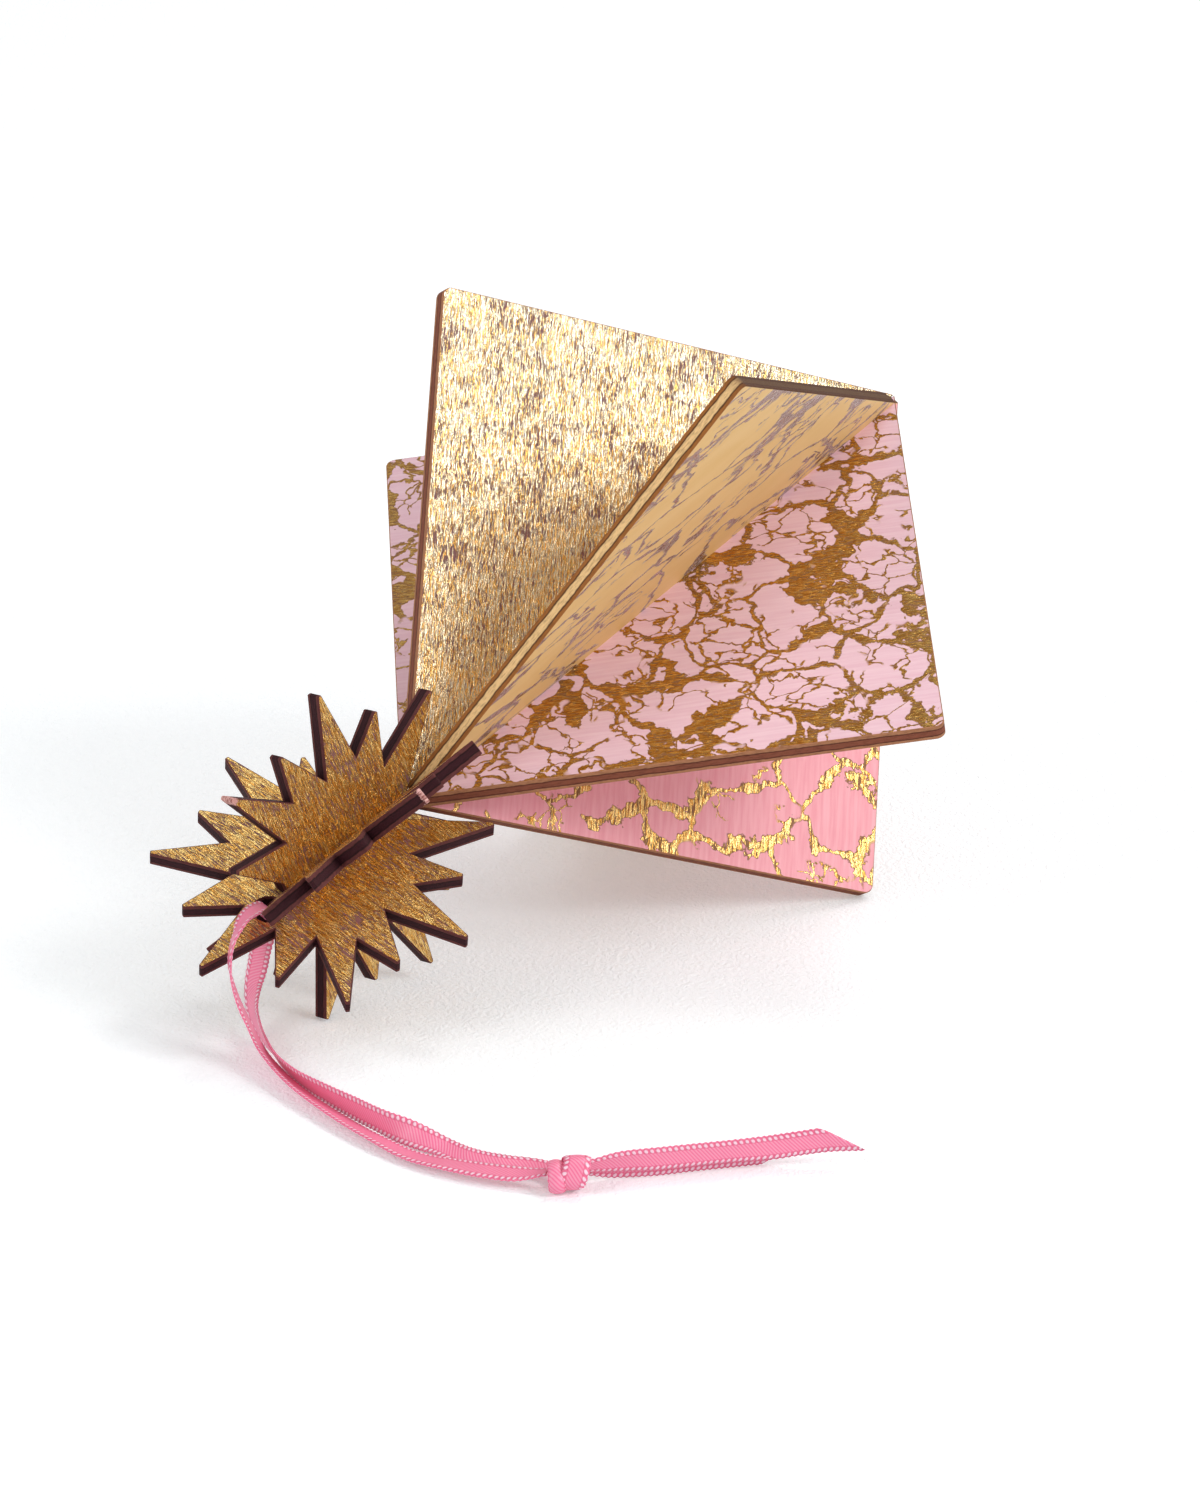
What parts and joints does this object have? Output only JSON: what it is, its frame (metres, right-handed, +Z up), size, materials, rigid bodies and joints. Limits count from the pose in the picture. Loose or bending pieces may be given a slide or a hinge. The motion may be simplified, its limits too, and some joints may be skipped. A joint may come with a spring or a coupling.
{
  "type": "wooden bauble",
  "caption": "Hanging plywood ornament: square plates slotted together on one diagonal, starburst plates beyond their tip, and a knotted satin ribbon loop.",
  "frame": {"origin": "on the table, under the middle of the plates' box, with the ornament lying as it comes to rest", "axes": "+X along the table from the star towards the squares' far corner, +Z up from the table"},
  "size_m": [0.1226, 0.1197, 0.0738],
  "materials": {
    "ochre_ply": "ochre paper with grey veins on plywood",
    "gold_ply": "gold foil and pink stain on plywood",
    "pink_ply": "pale pink stain with gold foil veins on plywood",
    "foiled_ply": "worn gold foil over a dark stain on plywood",
    "satin": "pink satin ribbon"
  },
  "bodies": {
    "root": {"square_plate_ochre": "ochre_ply", "square_plate_gold": "gold_ply", "square_plate_pink": "pink_ply", "star_plate_inner": "foiled_ply", "star_plate_middle": "foiled_ply", "star_plate_outer": "foiled_ply", "ribbon_strand_front": "satin", "ribbon_strand_back": "satin", "ribbon_knot": "satin", "ribbon_tail_upper": "satin", "ribbon_tail_lower": "satin"}
  },
  "joints": []
}
